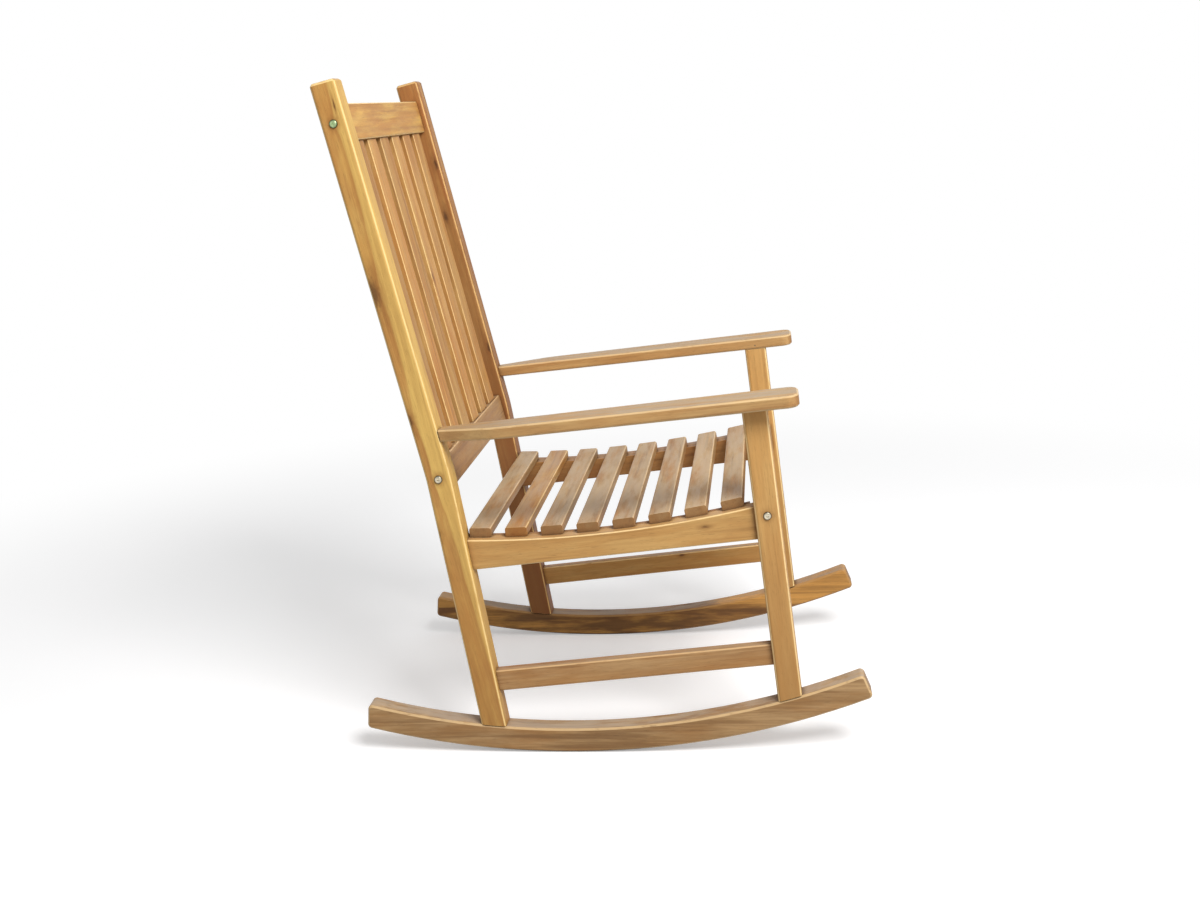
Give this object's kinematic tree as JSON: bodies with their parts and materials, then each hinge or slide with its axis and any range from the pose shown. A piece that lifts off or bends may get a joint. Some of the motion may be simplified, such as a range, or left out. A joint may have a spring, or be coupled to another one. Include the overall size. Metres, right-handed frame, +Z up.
{
  "type": "rocking chair",
  "caption": "Wooden porch rocking chair with curved rockers, a scooped slatted seat, flared flat armrests and an upright slatted back held between two bolted side frames.",
  "frame": {"origin": "middle of the chair's bounding box, on the floor", "axes": "+Z up, the chair faces -Y, +X to the sitter's left; the chair stands rocked back as it rests empty"},
  "size_m": [0.6686, 0.8854, 1.1657],
  "materials": {
    "side_wood": "oiled hardwood, golden, streaked grain",
    "arm_wood": "oiled hardwood, slightly greyed on top",
    "back_wood": "oiled hardwood, golden brown",
    "seat_wood": "oiled hardwood, greyed brown",
    "bolt_steel": "zinc plated",
    "nut_steel": "zinc plated",
    "nail_steel": "dull"
  },
  "bodies": {
    "root": {"rocker_left": "side_wood", "rocker_right": "side_wood", "front_leg_left": "side_wood", "front_leg_right": "side_wood", "rear_post_left": "side_wood", "rear_post_right": "side_wood", "armrest_left": "arm_wood", "armrest_right": "arm_wood", "seat_side_rail_left": "side_wood", "seat_side_rail_right": "side_wood", "side_stretcher_left": "side_wood", "side_stretcher_right": "side_wood", "seat_batten_left": "seat_wood", "seat_batten_right": "seat_wood", "top_back_rail": "back_wood", "lower_back_rail": "back_wood", "front_seat_rail": "side_wood", "back_slat_1": "back_wood", "back_slat_2": "back_wood", "back_slat_3": "back_wood", "back_slat_4": "back_wood", "back_slat_5": "back_wood", "back_slat_6": "back_wood", "seat_slat_1": "seat_wood", "seat_slat_2": "seat_wood", "seat_slat_3": "seat_wood", "seat_slat_4": "seat_wood", "seat_slat_5": "seat_wood", "seat_slat_6": "seat_wood", "seat_slat_7": "seat_wood", "seat_slat_8": "seat_wood", "frame_bolts": "bolt_steel", "square_nuts": "nut_steel", "arm_pins": "nail_steel", "seat_nails": "nail_steel"}
  },
  "joints": []
}
